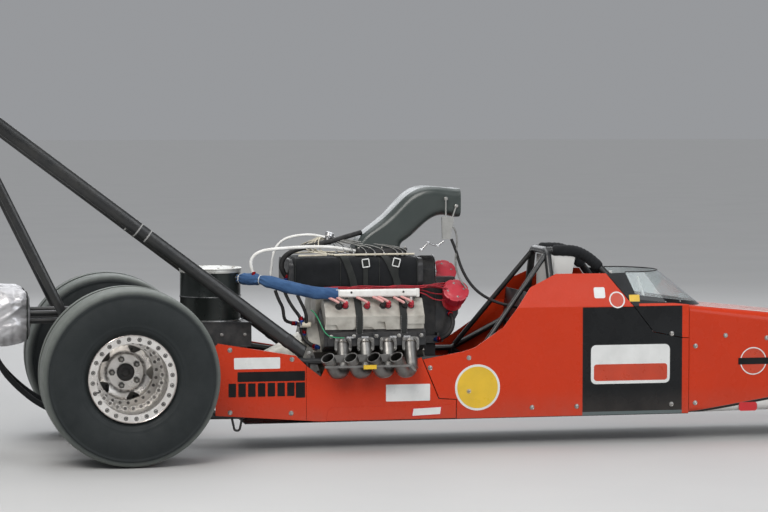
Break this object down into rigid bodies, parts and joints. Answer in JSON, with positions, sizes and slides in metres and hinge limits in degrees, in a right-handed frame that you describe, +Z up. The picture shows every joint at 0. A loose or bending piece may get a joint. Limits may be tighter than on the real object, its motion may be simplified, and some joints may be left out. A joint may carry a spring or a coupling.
{
  "type": "drag racing car",
  "caption": "Long rear-engine drag racing car with a supercharged vee engine, rear wing, wide slick rear tyres, thin front wheels and an open cockpit.",
  "frame": {"origin": "on the floor under the middle of the car's length and width", "axes": "+X forward to the nose, +Y to the car's left, +Z up"},
  "size_m": [9.3, 1.6604, 2.26],
  "materials": {
    "slick_rubber": "worn matt, paler tread",
    "tyre_rubber": "matt",
    "polished_wheel": "polished",
    "dark_steel": "dark, satin",
    "cast_alloy": "satin cast",
    "frame_paint": "satin black",
    "black_panel": "satin black",
    "body_paint": "gloss orange-red",
    "clear_screen": "clear",
    "black_plastic": "matt",
    "black_metal": "satin",
    "black_cloth": "quilted, matt",
    "scoop_carbon": "gloss grey-green",
    "red_plastic": "gloss",
    "black_rubber": "matt",
    "header_steel": "heat-tinted",
    "white_plastic": "satin",
    "blue_cloth": "woven, matt",
    "white_wing": "gloss white",
    "silver_cloth": "silver-faced"
  },
  "bodies": {
    "chassis": {"belly_pan": "black_panel", "blower_blanket": "black_cloth", "brake_lever": "dark_steel", "breather_pipe": "white_plastic", "breather_sleeve": "blue_cloth", "catch_tank": "cast_alloy", "cockpit_cowl": "body_paint", "cockpit_side_panels": "body_paint", "cylinder_heads": "black_metal", "dashboard": "black_panel", "drive_belt": "black_rubber", "driveline_case": "cast_alloy", "engine_block": "cast_alloy", "engine_side_panels": "body_paint", "exhaust_headers": "header_steel", "frame_crossmembers": "frame_paint", "frame_sides": "frame_paint", "front_axle": "frame_paint", "front_cover": "black_metal", "front_wing": "body_paint", "fuel_hose": "white_plastic", "injector_scoop": "scoop_carbon", "intake_manifold": "cast_alloy", "magnetos": "red_plastic", "motor_plates": "dark_steel", "nose_cone": "body_paint", "nose_lower": "body_paint", "nose_upper": "body_paint", "parachute_packs": "silver_cloth", "rear_axle_housing": "cast_alloy", "rear_side_panels": "body_paint", "rear_wing": "white_wing", "restraint_straps": "black_cloth", "roll_cage": "frame_paint", "seat": "black_panel", "supercharger": "black_metal", "tank_tray": "black_metal", "tether_left": "black_cloth", "tether_right": "black_cloth", "throttle_hose": "black_rubber", "valve_covers": "cast_alloy", "vent_hose": "black_rubber", "windscreen": "clear_screen", "wing_brackets": "dark_steel", "wing_end_plates": "white_wing", "wing_struts": "frame_paint"},
    "rear_wheels": {"rear_tyre_left": "slick_rubber", "rear_tyre_right": "slick_rubber", "rear_rims": "polished_wheel", "rear_axle_shaft": "dark_steel"},
    "knuckle_left": {"front_knuckle_left": "dark_steel"},
    "knuckle_right": {"front_knuckle_right": "dark_steel"},
    "tie_rod": {"tie_rod": "dark_steel"},
    "steering_wheel": {"steering_wheel": "black_plastic"},
    "front_wheel_left": {"front_tyre_left": "tyre_rubber", "front_rim_left": "polished_wheel"},
    "front_wheel_right": {"front_tyre_right": "tyre_rubber", "front_rim_right": "polished_wheel"}
  },
  "joints": [
    {"name": "rear_axle_turn", "type": "hinge", "parent": "chassis", "child": "rear_wheels", "pos_m": [-3.23, 0, 0.453], "axis": [0, 1, 0], "continuous": true},
    {"name": "steer_left", "type": "hinge", "parent": "chassis", "child": "knuckle_left", "pos_m": [3.88, 0.36, 0.28], "axis": [0, 0, 1], "range_deg": [-12, 12]},
    {"name": "steer_right", "type": "hinge", "parent": "chassis", "child": "knuckle_right", "pos_m": [3.88, -0.36, 0.28], "axis": [0, 0, 1], "range_deg": [-12, 12]},
    {"name": "tie_rod_swing", "type": "hinge", "parent": "knuckle_left", "child": "tie_rod", "pos_m": [3.76, 0.36, 0.272], "axis": [0, 0, 1], "range_deg": [-12, 12]},
    {"name": "steering_wheel_turn", "type": "hinge", "parent": "chassis", "child": "steering_wheel", "pos_m": [-0.35, 0, 0.64], "axis": [-1, 0, 0], "range_deg": [-72, 72]},
    {"name": "front_wheel_left_turn", "type": "hinge", "parent": "knuckle_left", "child": "front_wheel_left", "pos_m": [3.88, 0.425, 0.28], "axis": [0, 1, 0], "continuous": true},
    {"name": "front_wheel_right_turn", "type": "hinge", "parent": "knuckle_right", "child": "front_wheel_right", "pos_m": [3.88, -0.425, 0.28], "axis": [0, 1, 0], "continuous": true}
  ],
  "couplings": [
    {"joint": "steer_right", "follows": "steer_left", "ratio": 1},
    {"joint": "tie_rod_swing", "follows": "steer_left", "ratio": -1},
    {"joint": "steering_wheel_turn", "follows": "steer_left", "ratio": 6}
  ]
}
